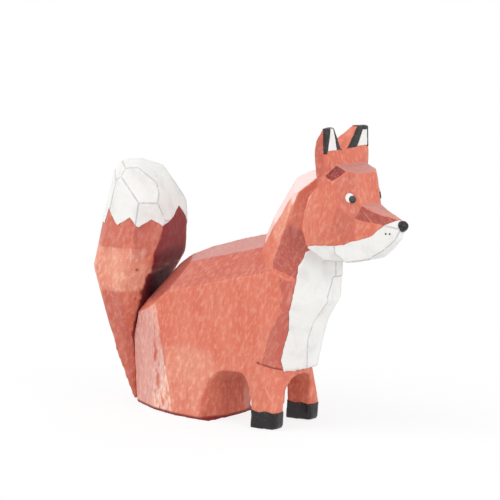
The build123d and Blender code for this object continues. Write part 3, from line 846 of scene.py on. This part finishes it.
class FOX_OT_carved_body(bpy.types.Operator):
    """Carves the blank of haunches, back, forelegs, neck, head and ears"""

    bl_idname = "fox.carved_body"
    bl_label = "Carved body"

    def execute(self, context):
        body = carve_wood("body", "carved_body")
        cut = mark(body, "cut", line_places(STOP_CUT))
        push(body, cut < CUT_REACH, (0, sizes().cut_depth, 0))
        chips = [Vector(spot) * MM for spot in CHIPS] + line_places(SCRATCH)
        mark(body, "chip", chips)
        finish_piece(body, "stained_wood", "body")
        return {"FINISHED"}


class FOX_OT_carved_brush(bpy.types.Operator):
    """Carves the brush that is glued to the rump"""

    bl_idname = "fox.carved_brush"
    bl_label = "Carved brush"

    def execute(self, context):
        brush = carve_wood("tail", "carved_brush")
        leave_unmarked(brush, "cut", "chip")
        finish_piece(brush, "stained_wood", "tail")
        return {"FINISHED"}


class FOX_OT_peg(bpy.types.Operator):
    """Turns the peg in the glue joint, with chamfered ends"""

    bl_idname = "fox.peg"
    bl_label = "Peg in the joint"

    def execute(self, context):
        peg = copy_of("tail_dowel", "joint_peg")
        modifier(
            peg, "BEVEL", width=PEG_CHAMFER, segments=2, limit_method="ANGLE",
            angle_limit=SHARP_CORNER,
        )
        finish_piece(peg, "bare_wood", "tail_dowel")
        bpy.ops.object.shade_smooth_by_angle(angle=PEG_SMOOTH)
        return {"FINISHED"}


class FOX_OT_white_coats(bpy.types.Operator):
    """Paints the bib, the tip of the brush and the insides of the ears white"""

    bl_idname = "fox.white_coats"
    bl_label = "White coats"

    def execute(self, context):
        body, brush = bpy.data.objects["carved_body"], bpy.data.objects["carved_brush"]
        for node, name, wood, wood_node, hem in (
            ("bib_paint", "bib_coat", body, "body", HEM_HEIGHT),
            ("tail_tip_paint", "brush_tip_coat", brush, "tail", None),
            ("right_ear_lining", "right_ear_white", body, "body", None),
            ("left_ear_lining", "left_ear_white", body, "body", None),
        ):
            finish_piece(coat_wood(node, name, wood, wood_node, hem), "white_paint", node)
        return {"FINISHED"}


class FOX_OT_black_coats(bpy.types.Operator):
    """Paints the forefeet and the bands round the ears black"""

    bl_idname = "fox.black_coats"
    bl_label = "Black coats"

    def execute(self, context):
        body = bpy.data.objects["carved_body"]
        for node, name in (
            ("right_forefoot_paint", "right_foot_black"),
            ("left_forefoot_paint", "left_foot_black"),
            ("right_ear_edging", "right_ear_black"),
            ("left_ear_edging", "left_ear_black"),
        ):
            finish_piece(coat_wood(node, name, body, "body"), "black_paint", node)
        return {"FINISHED"}


class FOX_OT_dabs(bpy.types.Operator):
    """Dabs on the eyes, the nose and the whisker dots"""

    bl_idname = "fox.dabs"
    bl_label = "Eyes, nose and whisker dots"

    def execute(self, context):
        for node, name, slot, rim in DABS:
            dab = copy_of(node, name)
            if rim:
                modifier(
                    dab, "BEVEL", width=rim * MM, segments=4, limit_method="ANGLE",
                    angle_limit=SHARP_CORNER,
                )
            else:
                refine(dab, NOSE_GRID)
                displace(dab, "wander", ARRIS_BUMP, 2 * sizes().wander, "RGB_TO_XYZ")
            leave_unmarked(dab, "arris")
            finish_piece(dab, slot, node)
            bpy.ops.object.shade_smooth_by_angle(angle=DAB_SMOOTH)
        return {"FINISHED"}


class FOX_OT_stage(bpy.types.Operator):
    """Sets the pale floor, the lamps and the camera"""

    bl_idname = "fox.stage"
    bl_label = "Stage"

    def execute(self, context):
        scene = context.scene
        scene.view_settings.view_transform = "Standard"
        light_room(scene)
        lay_floor()
        hang_lamps()
        set_camera(scene)
        return {"FINISHED"}


class FOX_PT_panel(bpy.types.Panel):
    """Lists the sizes, the colours and the pieces of the fox"""

    bl_label = "Whittled fox"
    bl_idname = "FOX_PT_panel"
    bl_space_type = "VIEW_3D"
    bl_region_type = "UI"
    bl_category = "Fox"

    def draw(self, context):
        layout = self.layout
        for group in (context.scene.fox_sizes, context.scene.fox_colours):
            for name in group.__annotations__:
                layout.prop(group, name)
        for operator in PIECES:
            layout.operator(operator.bl_idname)


PIECES = (
    FOX_OT_carved_body,
    FOX_OT_carved_brush,
    FOX_OT_peg,
    FOX_OT_white_coats,
    FOX_OT_black_coats,
    FOX_OT_dabs,
    FOX_OT_stage,
)
CLASSES = (CarvingSizes, FinishColours, *PIECES, FOX_PT_panel)


def register():
    """Adds the sizes, the colours, the operators and the panel"""
    for each in CLASSES:
        bpy.utils.register_class(each)
    bpy.types.Scene.fox_sizes = PointerProperty(type=CarvingSizes)
    bpy.types.Scene.fox_colours = PointerProperty(type=FinishColours)


def unregister():
    """Takes out what register added"""
    del bpy.types.Scene.fox_sizes
    del bpy.types.Scene.fox_colours
    for each in reversed(CLASSES):
        bpy.utils.unregister_class(each)


def main():
    """Makes every piece and the stage"""
    register()
    for operator in PIECES:
        family, name = operator.bl_idname.split(".")
        getattr(getattr(bpy.ops, family), name)()


if __name__ == "__main__":
    main()
